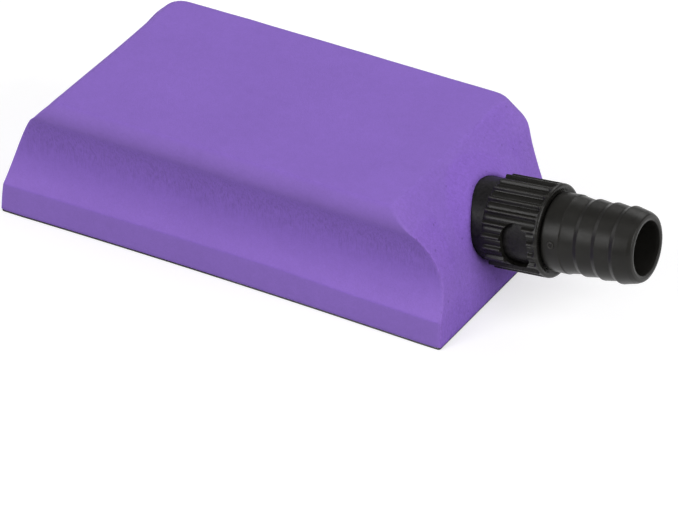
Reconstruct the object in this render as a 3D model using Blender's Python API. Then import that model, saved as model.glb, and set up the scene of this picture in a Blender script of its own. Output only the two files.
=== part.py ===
"""Flexible sanding block with dust extraction.

A soft foam hand block carries hook facing underneath and a hose fitting on one end.
Dust is drawn up through holes in the facing and the foam insert into a plenum, and
leaves through the fitting. A ribbed collar turns a quarter turn to bring its window
over the bleed port, and the barbed hose tail swivels in the collar.

Metres, +Z up. The origin lies in the middle of the working face, +X points to the hose.
Angles round the outlet axis start at the front, -Y, and grow towards the top.
"""

import math

import bmesh
import bpy
from mathutils import Matrix

# Foam block, outside
BLOCK_LENGTH = 0.13335
BLOCK_WIDTH = 0.066675
BLOCK_HEIGHT = 0.0373
SKIRT_HEIGHT = 0.0080
SKIRT_LEAN = 0.0010
WAIST_HEIGHT = 0.0192
WAIST_DEPTH = 0.0055
SHOULDER_DEPTH = 0.0068
COVE_TOP_DEPTH = 0.0022
NOSE_RADIUS = 0.0065
TOP_EDGE_RADIUS = 0.0018
END_UPRIGHT_HEIGHT = 0.0040
END_SETBACK = 0.0155
CORNER_RADIUS = 0.0014

# Foam block, inside
SIDE_WALL = 0.0078
END_WALL = 0.0127
PLENUM_CORNER = 0.0060
PLENUM_FAR_HEIGHT = 0.0075
INSERT_LEDGE = 0.0040
INSERT_THICKNESS = 0.0045
INSERT_CORNER = 0.0030

# Hook facing and dust holes
HOOK_THICKNESS = 0.0008
HOOK_INSET = 0.0003
DUST_HOLE_DIAMETER = 0.0080
DUST_COLUMNS = 4
DUST_ROWS = 2

# Outlet axis, which rises away from the block. At its end it starts a little lower than
# halfway from the insert to the top
OUTLET_SINK = 0.00021
OUTLET_TILT = math.radians(6.6)

# Regulator collar
COLLAR_START = 0.0005
COLLAR_LENGTH = 0.0163
RIB_DIAMETER = 0.0248
RIB_COUNT = 22
RIB_PLACE = math.radians(9.3)
FLUTE_DEPTH = 0.00070
FLUTE_RUN_OUT = 0.0014
COLLAR_WALL = 0.00125
RIM_LENGTH = 0.0006
RIM_CHAMFER = 0.0007
BEAD_PLACE = 0.0019
BEAD_LENGTH = 0.0008
BEAD_HEIGHT = 0.0005
WINDOW_PLACE = 0.0093
WINDOW_WIDTH = 0.0078
WINDOW_HEIGHT = 0.0131
WINDOW_ANGLE = math.radians(-1.8)
COLLAR_TURN = math.radians(90)

# Spigot, glued into the end wall
NECK_STEP = 0.0016
NECK_LENGTH = 0.0106
ROOT_STEP = 0.0014
ROOT_PROUD = 0.0006
ROOT_CHAMFER = 0.0006
SPIGOT_WALL = 0.00215
SNAP_GROOVE_DEPTH = 0.00055
PORT_DIAMETER = 0.0048
CHANNEL_LENGTH = 0.0040
LUG_HEIGHT = 0.0006
LUG_LENGTH = 0.0011
LUG_ANGLE = math.radians(16)
LUG_PLACE = math.radians(-90)

# Foam boss round the neck. Its face drops back towards the top
BOSS_SETBACK = 0.0022
BOSS_DROP = 0.0028
BOSS_RIM = 0.0010
BOSS_DEPTH = 0.0103
BOSS_FLARE = 0.0045

# Friction ring under the collar
RING_SECTION = 0.0010
RING_PLACE = 0.0035

# Swivel between collar and hose tail
LIP_THICKNESS = 0.0008
LIP_HOLD = 0.0007
SHOULDER_THICKNESS = 0.0007
WASHER_THICKNESS = 0.0006
PILOT_LENGTH = 0.0024
PILOT_WALL = 0.0012
COUNTERBORE_STEP = 0.0006

# Hose tail for a 19 mm hose, its walls measured from the bore
BAND_WALL = 0.0033
BAND_LENGTH = 0.00485
BAND_CHAMFER = 0.0003
BARB_ROOT_WALL = 0.00255
BARB_HEIGHT = 0.00055
BARB_PITCH = 0.00515
BARB_BACK = 0.0013
BARB_COUNT = 3
TIP_TAPER_WALL = 0.00225
TIP_TAPER_LENGTH = 0.0037
TIP_FACE_WIDTH = 0.0012
TIP_NOSE_LENGTH = 0.0013
PIP_DIAMETER = 0.0017
PIP_HEIGHT = 0.00025
PIP_SETBACK = 0.0020
PIP_PLACE = math.radians(11)

# Clearances
GLUE_GAP = 0.0003
RUN_GAP = 0.0003
CUT_OVERRUN = 0.0020

# Facets
ROUND_STEPS = 48
HOLE_STEPS = 24
ARC_STEPS = 4
CORNER_STEPS = 3
SMOOTH_ANGLE = math.radians(32)

# One side of a rib, crest to flute floor: share of the pitch, share of the flute depth
RIB_SHARES = ((0, 0), (0.08, 0.12), (0.20, 0.80), (0.32, 1), (0.5, 1))

# Colours of the real materials, scene linear
FOAM_COLOUR = (0.235, 0.130, 0.479, 1.0)
HOOK_COLOUR = (0.030, 0.027, 0.026, 1.0)
PLASTIC_COLOUR = (0.024, 0.023, 0.022, 1.0)
RUBBER_COLOUR = (0.012, 0.012, 0.012, 1.0)

# Sizes that follow from the ones above, from the collar's ribs inwards
JOURNAL_RADIUS = RIB_DIAMETER / 2 - FLUTE_DEPTH - COLLAR_WALL - RUN_GAP
SPIGOT_BORE_RADIUS = JOURNAL_RADIUS - SPIGOT_WALL
COUNTERBORE_RADIUS = SPIGOT_BORE_RADIUS + COUNTERBORE_STEP
PILOT_RADIUS = COUNTERBORE_RADIUS - RUN_GAP
HOSE_BORE_RADIUS = PILOT_RADIUS - PILOT_WALL
BARB_ROOT_RADIUS = HOSE_BORE_RADIUS + BARB_ROOT_WALL
LIP_BORE_RADIUS = BARB_ROOT_RADIUS + RUN_GAP
POCKET_RADIUS = LIP_BORE_RADIUS + LIP_HOLD
NECK_RADIUS = RIB_DIAMETER / 2 - NECK_STEP
ROOT_RADIUS = NECK_RADIUS - ROOT_STEP

# Heights in the block
COVE_TOP_HEIGHT = BLOCK_HEIGHT - SHOULDER_DEPTH
FOAM_FOOT = HOOK_THICKNESS + GLUE_GAP
INSERT_TOP = FOAM_FOOT + INSERT_THICKNESS
OUTLET_HEIGHT = (INSERT_TOP + BLOCK_HEIGHT) / 2 - OUTLET_SINK

# Places along the outlet axis, measured from the foot of the block's end
NECK_FRONT = COLLAR_START - RUN_GAP
NECK_BACK = NECK_FRONT - NECK_LENGTH
COLLAR_FRONT = COLLAR_START + COLLAR_LENGTH
WINDOW_CENTRE = COLLAR_START + WINDOW_PLACE
SHOULDER_FRONT = COLLAR_FRONT - LIP_THICKNESS - RUN_GAP
SHOULDER_BACK = SHOULDER_FRONT - SHOULDER_THICKNESS
WASHER_FRONT = SHOULDER_BACK - RUN_GAP
WASHER_BACK = WASHER_FRONT - WASHER_THICKNESS
SPIGOT_FRONT = WASHER_BACK - RUN_GAP
PILOT_BACK = SHOULDER_BACK - PILOT_LENGTH

# Inner faces of the foam
PLENUM_HALF_LENGTH = BLOCK_LENGTH / 2 - END_WALL
PLENUM_HALF_WIDTH = BLOCK_WIDTH / 2 - WAIST_DEPTH - SIDE_WALL
ROOT_END = -END_WALL / math.cos(OUTLET_TILT) - ROOT_PROUD


def clear_scene():
    """Remove what a new Blender file starts with."""
    for item in list(bpy.data.objects):
        bpy.data.objects.remove(item, do_unlink=True)


def make_material(name, colour, roughness):
    """Principled material with one colour."""
    material = bpy.data.materials.new(name)
    material.use_nodes = True
    shader = material.node_tree.nodes["Principled BSDF"]
    shader.inputs["Base Color"].default_value = colour
    shader.inputs["Roughness"].default_value = roughness
    shader.inputs["Metallic"].default_value = 0.0
    material.diffuse_color = colour
    return material


def make_object(name, mesh_data, material=None, parent=None):
    """Put a bmesh into the scene as a named object with smooth round faces."""
    bmesh.ops.recalc_face_normals(mesh_data, faces=mesh_data.faces)
    mesh = bpy.data.meshes.new(name)
    mesh_data.to_mesh(mesh)
    mesh_data.free()
    mesh.shade_smooth()
    mesh.set_sharp_from_angle(angle=SMOOTH_ANGLE)
    item = bpy.data.objects.new(name, mesh)
    bpy.context.scene.collection.objects.link(item)
    item.parent = parent
    if material is not None:
        mesh.materials.append(material)
    return item


def make_form(name, mesh_data, parent=None):
    """An object that only cuts or adds to other objects."""
    item = make_object(name, mesh_data, parent=parent)
    item.hide_render = True
    item.display_type = "WIRE"
    return item


def combine(target, form, operation):
    """Boolean of target with a form, kept as a modifier."""
    modifier = target.modifiers.new(form.name, "BOOLEAN")
    modifier.operation = operation
    modifier.solver = "EXACT"
    modifier.object = form


def loft(rings, closed=False):
    """Skin through rings of points. Open lofts get flat ends, closed ones join up."""
    mesh_data = bmesh.new()
    loops = [[mesh_data.verts.new(point) for point in ring] for ring in rings]
    pairs = list(zip(loops, loops[1:]))
    if closed:
        pairs.append((loops[-1], loops[0]))
    for low, high in pairs:
        for here in range(len(low)):
            after = (here + 1) % len(low)
            mesh_data.faces.new((low[here], low[after], high[after], high[here]))
    if not closed:
        mesh_data.faces.new(list(reversed(loops[0])))
        mesh_data.faces.new(loops[-1])
    return mesh_data


def arc(centre, radius, start, end, steps=ARC_STEPS):
    """Points of a circular arc in a plane, both ends included."""
    points = []
    for step in range(steps + 1):
        angle = start + (end - start) * step / steps
        points.append((
            centre[0] + radius * math.cos(angle),
            centre[1] + radius * math.sin(angle),
        ))
    return points


def around_axis(place, radius, angle):
    """Point at an angle round the outlet axis, in that axis's own frame."""
    return (place, -radius * math.cos(angle), radius * math.sin(angle))


def turned(profile, hollow, steps=ROUND_STEPS):
    """Body turned round the outlet axis from (place, radius) pairs."""
    turn = 2 * math.pi / steps
    rings = []
    for place, radius in profile:
        rings.append([around_axis(place, radius, turn * step) for step in range(steps)])
    return loft(rings, closed=hollow)


def sector(back, front, inner, outer, start, span):
    """Part of a flat ring round the outlet axis, from the start angle over the span."""
    steps = max(ARC_STEPS, round(ROUND_STEPS * span / (2 * math.pi)))
    corners = ((back, inner), (front, inner), (front, outer), (back, outer))
    rings = []
    for step in range(steps + 1):
        angle = start + span * step / steps
        rings.append([around_axis(place, radius, angle) for place, radius in corners])
    return loft(rings)


def round_outline(place, radius):
    """Circle about a place on the outlet axis, as (along, side) pairs."""
    return arc((place, 0), radius, 0, 2 * math.pi, HOLE_STEPS)[:-1]


def radial_plug(outline, inner, outer, angle):
    """Plug with an (along, side) outline that points straight out from the outlet axis."""
    up, across = math.sin(angle), math.cos(angle)
    rings = []
    for reach in (inner, outer):
        rings.append([
            (along, side * up - reach * across, side * across + reach * up)
            for along, side in outline
        ])
    return loft(rings)


def rounded_rectangle(half_x, half_y, radius):
    """Plan outline with round corners, as (x, y) pairs."""
    outline = []
    quarter = math.pi / 2
    for turn, (side_x, side_y) in enumerate(((1, 1), (-1, 1), (-1, -1), (1, -1))):
        centre = (side_x * (half_x - radius), side_y * (half_y - radius))
        outline += arc(centre, radius, quarter * turn, quarter * (turn + 1), CORNER_STEPS)
    return outline


def plate(outline, low, high):
    """Flat-faced body that stands on an outline, between two heights."""
    return loft([[(x, y, height) for x, y in outline] for height in (low, high)])


def block_half_length(height):
    """Half length of the foam at a height: upright at the foot, then one arc."""
    rise = BLOCK_HEIGHT - END_UPRIGHT_HEIGHT
    radius = (END_SETBACK ** 2 + rise ** 2) / (2 * END_SETBACK)
    climb = max(height - END_UPRIGHT_HEIGHT, 0)
    return BLOCK_LENGTH / 2 - (radius - math.sqrt(radius ** 2 - climb ** 2))


def block_flank():
    """Half section of the foam as (half width, height), from the foot to the flat top."""
    half = BLOCK_WIDTH / 2
    crease = half - SKIRT_LEAN
    waist = half - WAIST_DEPTH
    cove_top = half - COVE_TOP_DEPTH

    # Finger cove: two arcs that meet upright at the waist
    rise = WAIST_HEIGHT - SKIRT_HEIGHT
    radius = ((crease - waist) ** 2 + rise ** 2) / (2 * (crease - waist))
    start = math.pi + math.asin(rise / radius)
    lower = arc((waist + radius, WAIST_HEIGHT), radius, start, math.pi)
    rise = COVE_TOP_HEIGHT - WAIST_HEIGHT
    radius = ((cove_top - waist) ** 2 + rise ** 2) / (2 * (cove_top - waist))
    slope = math.asin(rise / radius)
    upper = arc((waist + radius, WAIST_HEIGHT), radius, math.pi, math.pi - slope)

    # Nose of the shoulder, which carries on from the cove and ends upright
    room = BLOCK_HEIGHT - TOP_EDGE_RADIUS - COVE_TOP_HEIGHT
    nose = min(NOSE_RADIUS, room / math.sin(slope))
    centre = (cove_top - nose * math.cos(slope), COVE_TOP_HEIGHT + nose * math.sin(slope))
    shoulder = arc(centre, nose, -slope, 0)

    # Round edge of the top
    centre = (centre[0] + nose - TOP_EDGE_RADIUS, BLOCK_HEIGHT - TOP_EDGE_RADIUS)
    edge = arc(centre, TOP_EDGE_RADIUS, 0, math.pi / 2)
    return [(half, FOAM_FOOT)] + lower + upper[1:] + shoulder[1:] + edge


def add_foam_body(material, outlet_axis):
    """Shaped foam with the plenum, the seat of the insert and the hole for the spigot."""
    rings = []
    for half_width, height in block_flank():
        outline = rounded_rectangle(block_half_length(height), half_width, CORNER_RADIUS)
        rings.append([(x, y, height) for x, y in outline])
    body = make_object("foam_body", loft(rings), material)
    combine(body, neck_boss_form(outlet_axis), "UNION")
    for form in (insert_seat_form(), plenum_form(), outlet_form(outlet_axis)):
        combine(body, form, "DIFFERENCE")
    return body


def insert_seat_form():
    """Recess that takes the insert, open to the hook facing."""
    outline = rounded_rectangle(
        PLENUM_HALF_LENGTH + INSERT_LEDGE, PLENUM_HALF_WIDTH + INSERT_LEDGE, INSERT_CORNER
    )
    return make_form("insert_seat_form", plate(outline, -CUT_OVERRUN, INSERT_TOP + GLUE_GAP))


def plenum_form():
    """Air space above the insert, whose roof climbs to the top of the spigot's bore."""
    outline = rounded_rectangle(PLENUM_HALF_LENGTH, PLENUM_HALF_WIDTH, PLENUM_CORNER)
    far_roof = INSERT_TOP + PLENUM_FAR_HEIGHT
    near_roof = OUTLET_HEIGHT - END_WALL * math.tan(OUTLET_TILT) + SPIGOT_BORE_RADIUS
    climb = (near_roof - far_roof) / (2 * PLENUM_HALF_LENGTH)
    floor = [(x, y, INSERT_TOP - CUT_OVERRUN) for x, y in outline]
    roof = [(x, y, far_roof + (x + PLENUM_HALF_LENGTH) * climb) for x, y in outline]
    return make_form("plenum_form", loft([floor, roof]))


def neck_boss_form(outlet_axis):
    """Cone that swells the block's end round the upper half of the neck."""
    rim = NECK_RADIUS + BOSS_RIM
    back, front, core = [], [], []
    for step in range(ROUND_STEPS):
        angle = 2 * math.pi * step / ROUND_STEPS
        face = -BOSS_SETBACK - BOSS_DROP * max(math.sin(angle), 0)
        back.append(around_axis(-BOSS_SETBACK - BOSS_DEPTH, rim + BOSS_FLARE, angle))
        front.append(around_axis(face, rim, angle))
        core.append(around_axis(face, SPIGOT_BORE_RADIUS, angle))
    return make_form("neck_boss_form", loft([back, front, core]), parent=outlet_axis)


def root_profile(gap):
    """Outside of the spigot's glued part as (place, radius), grown by a gap for its hole."""
    root = ROOT_RADIUS + gap
    return [
        (ROOT_END - gap, root - ROOT_CHAMFER),
        (ROOT_END - gap + ROOT_CHAMFER, root),
        (NECK_BACK - gap, root),
        (NECK_BACK - gap, NECK_RADIUS + gap),
    ]


def outlet_form(outlet_axis):
    """Hole for the spigot through the end wall, with the air way into the plenum."""
    profile = [
        (ROOT_END - CHANNEL_LENGTH, SPIGOT_BORE_RADIUS),
        (ROOT_END - GLUE_GAP, SPIGOT_BORE_RADIUS),
    ]
    profile += root_profile(GLUE_GAP)
    profile.append((COLLAR_START + CUT_OVERRUN, NECK_RADIUS + GLUE_GAP))
    return make_form("outlet_form", turned(profile, hollow=False), parent=outlet_axis)


def dust_hole_form():
    """All dust holes, spread evenly over the plenum."""
    mesh_data = bmesh.new()
    pitch_x = 2 * PLENUM_HALF_LENGTH / DUST_COLUMNS
    pitch_y = 2 * PLENUM_HALF_WIDTH / DUST_ROWS
    for column in range(DUST_COLUMNS):
        for row in range(DUST_ROWS):
            x = pitch_x * (column - (DUST_COLUMNS - 1) / 2)
            y = pitch_y * (row - (DUST_ROWS - 1) / 2)
            bmesh.ops.create_cone(
                mesh_data,
                cap_ends=True,
                segments=HOLE_STEPS,
                radius1=DUST_HOLE_DIAMETER / 2,
                radius2=DUST_HOLE_DIAMETER / 2,
                depth=INSERT_TOP + 2 * CUT_OVERRUN,
                matrix=Matrix.Translation((x, y, INSERT_TOP / 2)),
            )
    return make_form("dust_hole_form", mesh_data)


def add_foam_insert(material, dust_holes):
    """Foam plate that closes the plenum and carries the dust holes."""
    outline = rounded_rectangle(
        PLENUM_HALF_LENGTH + INSERT_LEDGE - GLUE_GAP,
        PLENUM_HALF_WIDTH + INSERT_LEDGE - GLUE_GAP,
        INSERT_CORNER - GLUE_GAP,
    )
    insert = make_object("foam_insert", plate(outline, FOAM_FOOT, INSERT_TOP), material)
    combine(insert, dust_holes, "DIFFERENCE")
    return insert


def add_hook_sheet(material, dust_holes):
    """Hook facing that the abrasive sheet presses onto."""
    outline = rounded_rectangle(
        BLOCK_LENGTH / 2 - HOOK_INSET, BLOCK_WIDTH / 2 - HOOK_INSET, CORNER_RADIUS
    )
    sheet = make_object("hook_sheet", plate(outline, 0, HOOK_THICKNESS), material)
    combine(sheet, dust_holes, "DIFFERENCE")
    return sheet


def ring_seat():
    """Back edge, front edge and floor radius of the friction ring's groove."""
    back = COLLAR_START + RING_PLACE - RUN_GAP / 2
    return back, back + RING_SECTION + RUN_GAP, JOURNAL_RADIUS - RING_SECTION - RUN_GAP / 2


def add_outlet_spigot(material, outlet_axis):
    """Fixed tube: glued root, neck, journal for the collar, bleed port and stop lug."""
    bead_back = COLLAR_START + BEAD_PLACE - RUN_GAP
    bead_front = COLLAR_START + BEAD_PLACE + BEAD_LENGTH + RUN_GAP
    snap_floor = JOURNAL_RADIUS - SNAP_GROOVE_DEPTH
    seat_back, seat_front, seat_floor = ring_seat()
    profile = root_profile(0)
    profile += [
        (NECK_FRONT, NECK_RADIUS),
        (NECK_FRONT, JOURNAL_RADIUS),
        (bead_back, JOURNAL_RADIUS),
        (bead_back, snap_floor),
        (bead_front, snap_floor),
        (bead_front, JOURNAL_RADIUS),
        (seat_back, JOURNAL_RADIUS),
        (seat_back, seat_floor),
        (seat_front, seat_floor),
        (seat_front, JOURNAL_RADIUS),
        (SPIGOT_FRONT, JOURNAL_RADIUS),
        (SPIGOT_FRONT, COUNTERBORE_RADIUS),
        (PILOT_BACK - RUN_GAP, COUNTERBORE_RADIUS),
        (PILOT_BACK - RUN_GAP, SPIGOT_BORE_RADIUS),
        (ROOT_END, SPIGOT_BORE_RADIUS),
    ]
    spigot = make_object("outlet_spigot", turned(profile, hollow=True), material, outlet_axis)
    lug = sector(
        NECK_FRONT - RUN_GAP,
        NECK_FRONT + LUG_LENGTH,
        JOURNAL_RADIUS - RUN_GAP,
        JOURNAL_RADIUS + LUG_HEIGHT,
        LUG_PLACE - LUG_ANGLE / 2,
        LUG_ANGLE,
    )
    combine(spigot, make_form("stop_lug_form", lug, outlet_axis), "UNION")
    port = radial_plug(
        round_outline(WINDOW_CENTRE, PORT_DIAMETER / 2),
        0,
        JOURNAL_RADIUS + CUT_OVERRUN,
        WINDOW_ANGLE + COLLAR_TURN,
    )
    combine(spigot, make_form("bleed_port_form", port, outlet_axis), "DIFFERENCE")
    return spigot


def add_friction_ring(material, outlet_axis):
    """Rubber ring that seals behind the port and keeps the collar where it is set."""
    seat_back, seat_front, seat_floor = ring_seat()
    middle = (seat_back + seat_front) / 2
    radius = seat_floor + RUN_GAP + RING_SECTION / 2
    section = arc((middle, radius), RING_SECTION / 2, 0, 2 * math.pi, 2 * ARC_STEPS)[:-1]
    return make_object("friction_ring", turned(section, hollow=True), material, outlet_axis)


def ribbed_ring(place, depth, inset=0):
    """Ring of points round the collar's ribs, for flutes of the given depth."""
    pitch = 2 * math.pi / RIB_COUNT
    crest = RIB_DIAMETER / 2 - inset
    falling = [(share, drop) for share, drop in RIB_SHARES]
    rising = [(1 - share, drop) for share, drop in reversed(RIB_SHARES[1:-1])]
    ring = []
    for rib in range(RIB_COUNT):
        for share, drop in falling + rising:
            angle = RIB_PLACE + pitch * (rib + share)
            ring.append(around_axis(place, crest - depth * drop, angle))
    return ring


def add_regulator_collar(material, collar_axis):
    """Ribbed ring with the air window. Its bead snaps into the spigot's groove."""
    flute_end = COLLAR_FRONT - RIM_CHAMFER - RIM_LENGTH
    rings = [ribbed_ring(COLLAR_START, FLUTE_DEPTH)]
    for along, depth in arc((0, 0), 1, 0, math.pi / 2)[::-1]:
        rings.append(
            ribbed_ring(flute_end - FLUTE_RUN_OUT * (1 - along), FLUTE_DEPTH * depth)
        )
    rings.append(ribbed_ring(COLLAR_FRONT - RIM_CHAMFER, 0))
    rings.append(ribbed_ring(COLLAR_FRONT, 0, inset=RIM_CHAMFER))
    collar = make_object("regulator_collar", loft(rings), material, collar_axis)
    for form in (
        collar_bore_form(collar_axis),
        stop_recess_form(collar_axis),
        window_form(collar_axis),
    ):
        combine(collar, form, "DIFFERENCE")
    return collar


def collar_bore_form(collar_axis):
    """Bore of the collar: journal, snap bead, pocket for the tail's shoulder, front lip."""
    bore = JOURNAL_RADIUS + RUN_GAP
    bead_back = COLLAR_START + BEAD_PLACE
    bead_front = bead_back + BEAD_LENGTH
    lip_back = COLLAR_FRONT - LIP_THICKNESS
    profile = [
        (COLLAR_START - CUT_OVERRUN, bore),
        (bead_back, bore),
        (bead_back, bore - BEAD_HEIGHT),
        (bead_front, bore - BEAD_HEIGHT),
        (bead_front, bore),
        (SPIGOT_FRONT, bore),
        (SPIGOT_FRONT, POCKET_RADIUS),
        (lip_back, POCKET_RADIUS),
        (lip_back, LIP_BORE_RADIUS),
        (COLLAR_FRONT + CUT_OVERRUN, LIP_BORE_RADIUS),
    ]
    return make_form("collar_bore_form", turned(profile, hollow=False), collar_axis)


def stop_recess_form(collar_axis):
    """Arc that the stop lug runs in. It reaches one turn of the collar back from the lug."""
    outer = JOURNAL_RADIUS + LUG_HEIGHT + RUN_GAP
    slack = RUN_GAP / outer
    recess = sector(
        COLLAR_START - CUT_OVERRUN,
        COLLAR_START + LUG_LENGTH,
        JOURNAL_RADIUS,
        outer,
        LUG_PLACE - LUG_ANGLE / 2 - slack - COLLAR_TURN,
        LUG_ANGLE + 2 * slack + COLLAR_TURN,
    )
    return make_form("stop_recess_form", recess, collar_axis)


def window_form(collar_axis):
    """Window with round ends, cut through the front wall of the collar."""
    radius = WINDOW_WIDTH / 2
    straight = WINDOW_HEIGHT / 2 - radius
    outline = arc((WINDOW_CENTRE, straight), radius, 0, math.pi, 2 * ARC_STEPS)
    outline += arc((WINDOW_CENTRE, -straight), radius, math.pi, 2 * math.pi, 2 * ARC_STEPS)
    window = radial_plug(outline, 0, RIB_DIAMETER / 2 + CUT_OVERRUN, WINDOW_ANGLE)
    return make_form("window_form", window, collar_axis)


def add_swivel_washer(material, outlet_axis):
    """Flat rubber washer between the spigot and the hose tail."""
    profile = [
        (WASHER_BACK, COUNTERBORE_RADIUS),
        (WASHER_BACK, JOURNAL_RADIUS),
        (WASHER_FRONT, JOURNAL_RADIUS),
        (WASHER_FRONT, COUNTERBORE_RADIUS),
    ]
    return make_object("swivel_washer", turned(profile, hollow=True), material, outlet_axis)


def add_hose_tail(material, tail_axis):
    """Barbed tube that the hose pushes onto. Its shoulder swivels behind the lip."""
    band = HOSE_BORE_RADIUS + BAND_WALL
    band_back = COLLAR_FRONT + RUN_GAP
    band_front = band_back + BAND_LENGTH
    profile = [
        (PILOT_BACK, PILOT_RADIUS),
        (SHOULDER_BACK, PILOT_RADIUS),
        (SHOULDER_BACK, POCKET_RADIUS - RUN_GAP),
        (SHOULDER_FRONT, POCKET_RADIUS - RUN_GAP),
        (SHOULDER_FRONT, BARB_ROOT_RADIUS),
        (band_back, BARB_ROOT_RADIUS),
        (band_back, band - BAND_CHAMFER),
        (band_back + BAND_CHAMFER, band),
        (band_front, band),
    ]
    for barb in range(1, BARB_COUNT + 1):
        crest = band_front + barb * BARB_PITCH
        profile.append((crest - BARB_BACK, BARB_ROOT_RADIUS))
        profile.append((crest, BARB_ROOT_RADIUS + BARB_HEIGHT))
    nose_back = band_front + BARB_COUNT * BARB_PITCH + TIP_TAPER_LENGTH
    taper_end = HOSE_BORE_RADIUS + TIP_TAPER_WALL
    face = HOSE_BORE_RADIUS + TIP_FACE_WIDTH
    for along, out in arc((0, 0), 1, 0, math.pi / 2)[::-1]:
        profile.append((nose_back + TIP_NOSE_LENGTH * along, face + (taper_end - face) * out))
    tip = nose_back + TIP_NOSE_LENGTH
    profile += [(tip, HOSE_BORE_RADIUS), (PILOT_BACK, HOSE_BORE_RADIUS)]
    tail = make_object("hose_tail", turned(profile, hollow=True), material, tail_axis)
    pip = radial_plug(
        round_outline(band_front - PIP_SETBACK, PIP_DIAMETER / 2),
        BARB_ROOT_RADIUS,
        band + PIP_HEIGHT,
        PIP_PLACE,
    )
    combine(tail, make_form("index_pip_form", pip, tail_axis), "UNION")
    return tail


def add_axis(name):
    """Empty on the outlet axis, with its X along the axis, out of the block."""
    axis = bpy.data.objects.new(name, None)
    axis.location = (BLOCK_LENGTH / 2, 0, OUTLET_HEIGHT)
    axis.rotation_euler = (0, -OUTLET_TILT, 0)
    bpy.context.scene.collection.objects.link(axis)
    return axis


def main():
    """Build the whole block."""
    clear_scene()
    outlet_axis = add_axis("outlet_axis")
    collar_axis = add_axis("collar_axis")
    tail_axis = add_axis("tail_axis")

    dust_holes = dust_hole_form()
    add_foam_body(make_material("purple_foam", FOAM_COLOUR, 0.85), outlet_axis)
    add_foam_insert(make_material("insert_foam", FOAM_COLOUR, 0.90), dust_holes)
    add_hook_sheet(make_material("hook_facing", HOOK_COLOUR, 0.80), dust_holes)
    add_outlet_spigot(make_material("spigot_plastic", PLASTIC_COLOUR, 0.45), outlet_axis)
    add_friction_ring(make_material("ring_rubber", RUBBER_COLOUR, 0.60), outlet_axis)
    add_regulator_collar(make_material("collar_plastic", PLASTIC_COLOUR, 0.42), collar_axis)
    add_swivel_washer(make_material("washer_rubber", RUBBER_COLOUR, 0.65), outlet_axis)
    add_hose_tail(make_material("tail_plastic", PLASTIC_COLOUR, 0.40), tail_axis)


main()
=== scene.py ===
"""Looks of the flexible sanding block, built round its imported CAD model.

Shapes are worked out in millimetres in the part's frame: +X to the hose, +Z up, the
origin in the middle of the working face. Round parts lie on the outlet axis, where a
point has a place along the axis, a radius and an angle. The angle is 0 at the front and
grows towards the top.
"""

import math

import bmesh
import bpy
import numpy as np
from mathutils import Matrix, Vector, noise


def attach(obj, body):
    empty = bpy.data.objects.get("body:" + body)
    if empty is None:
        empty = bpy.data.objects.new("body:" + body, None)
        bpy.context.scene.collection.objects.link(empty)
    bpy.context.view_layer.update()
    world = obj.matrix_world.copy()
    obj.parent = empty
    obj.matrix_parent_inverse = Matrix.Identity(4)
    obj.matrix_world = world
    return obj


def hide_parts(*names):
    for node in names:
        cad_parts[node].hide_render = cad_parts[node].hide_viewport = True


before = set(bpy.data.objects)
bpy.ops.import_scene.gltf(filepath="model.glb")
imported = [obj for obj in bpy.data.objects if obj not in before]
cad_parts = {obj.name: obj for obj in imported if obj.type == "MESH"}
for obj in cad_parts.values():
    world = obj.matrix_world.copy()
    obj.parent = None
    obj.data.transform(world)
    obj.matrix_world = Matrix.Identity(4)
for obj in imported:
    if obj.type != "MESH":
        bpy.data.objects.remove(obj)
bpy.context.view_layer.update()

MM = 0.001
FULL_TURN = 2 * math.pi

# Foam block
HALF_LENGTH = 66.675
HALF_WIDTH = 33.3375
TOP = 37.3
FOAM_FOOT = 0.80
SKIRT_TOP = 8.15
SKIRT_LEAN = 1.0
WAIST = 19.2
WAIST_DEPTH = 5.5
COVE_TOP = 30.5
# Lip round the foot, which hides the facing's backing and stands higher at the ends
LIP_FOOT = 0.50
LIP_EDGE = 0.72
LIP_THICKNESS = 0.30
END_LIP = 0.22
# Shoulder: depth of the cove's top, nose radius, angle of its straight, edge radius
FRONT_SHOULDER = (2.2, 5.1, 0.87, 0.5)
BACK_SHOULDER = (1.3, 4.4, 0.0, 1.6)
END_UPRIGHT = 4.0
END_SETBACK = 15.5
END_BLEND = 2.5

# Departures of the soft foam from its plain form
CREASE_DIP = 0.62
LEFT_END_DRAW = 0.95
LEFT_CORNER_DRAW = 0.55
FAR_EDGE_SINK = 0.45
FRONT_FOOT_DRAW = 0.75
RIGHT_FOOT_SPREAD = 0.50
RIGHT_EDGE_DRAW = 0.45
NECK_SWELL = 3.1
NECK_ROLL = 0.30
# The skin is set in by a depth before its waves, and held a gap inside the left end and top
SKIN_DEPTH = 0.05
BOX_GAP = 0.01

# Plenum, insert and dust holes
PLENUM_HALF_LENGTH = 53.975
PLENUM_HALF_WIDTH = 20.0375
PLENUM_CORNER = 6.0
PLENUM_FAR_HEIGHT = 7.5
END_WALL = HALF_LENGTH - PLENUM_HALF_LENGTH
INSERT_TOP = 5.6
INSERT_LEDGE = 4.0
INSERT_GAP = 0.15
SEAT = (PLENUM_HALF_LENGTH + INSERT_LEDGE, PLENUM_HALF_WIDTH + INSERT_LEDGE)
SEAT_CORNER = 3.0
DUST_PITCH = (2 * PLENUM_HALF_LENGTH / 4, 2 * PLENUM_HALF_WIDTH / 2)
DUST_RADIUS = 4.0

# Hook facing
BACKING_INSET = 0.45
BACKING_FOOT = 0.42
HOOK_PITCH = (1.55, 1.30)
HOOK_INSET = 1.1
HOOK_BORDER = (0.18, 0.28)
HOOK_HALF_DEPTH = 0.15
# One hook from its root to its tip as (along, up, half width)
HOOK_LINE = ((0.0, 0.03, 0.17), (0.02, -0.20, 0.13), (0.16, -0.385, 0.10), (0.34, -0.25, 0.05))

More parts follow.
